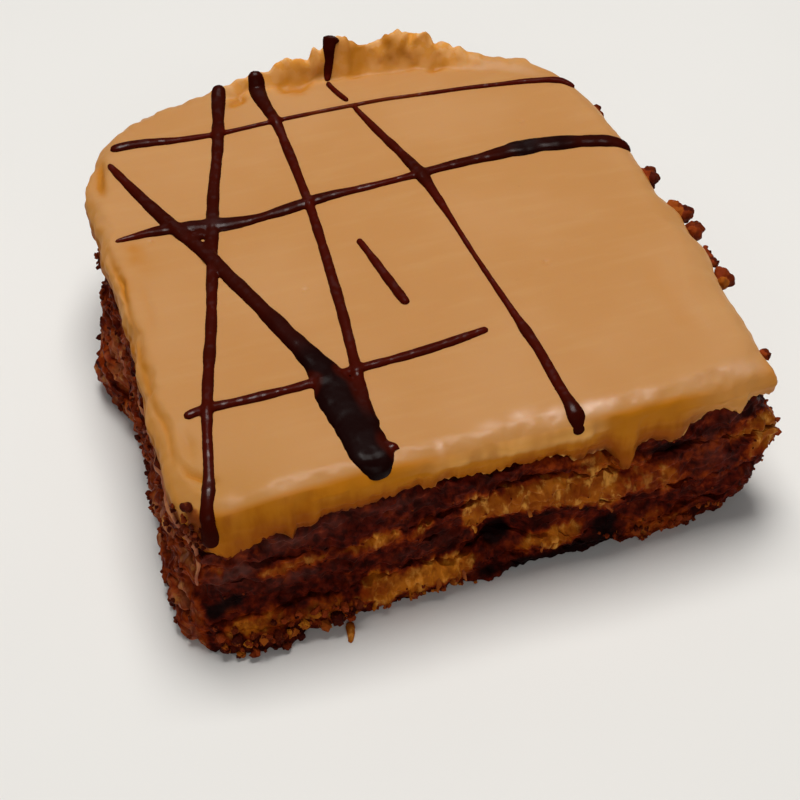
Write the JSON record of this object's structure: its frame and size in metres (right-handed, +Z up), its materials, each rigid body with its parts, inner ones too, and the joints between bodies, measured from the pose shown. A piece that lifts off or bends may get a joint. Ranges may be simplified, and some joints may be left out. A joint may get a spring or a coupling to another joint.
{
  "type": "chocolate biscuit layer cake slice",
  "caption": "Square slice of cake in layers of soaked chocolate biscuit and caramel cream, with a caramel icing top, dark drizzle lines and a rounded back edge.",
  "frame": {"origin": "centre of the footprint's box, on the surface that the slice stands on", "axes": "+Z up through the layers, -Y out of the cut face that shows the layers best, +Y to the rounded back, +X to the right seen from the front"},
  "size_m": [0.1018, 0.1018, 0.038],
  "materials": {
    "chocolate_biscuit": "dry, coarse dark crumb",
    "caramel_cream": "soft satin cream",
    "caramel_icing": "smooth satin icing",
    "chocolate_drizzle": "glossy dark chocolate"
  },
  "bodies": {
    "root": {"biscuit_bottom": "chocolate_biscuit", "cream_lower": "caramel_cream", "biscuit_middle": "chocolate_biscuit", "cream_upper": "caramel_cream", "biscuit_top": "chocolate_biscuit", "caramel_icing": "caramel_icing"}
  },
  "joints": []
}
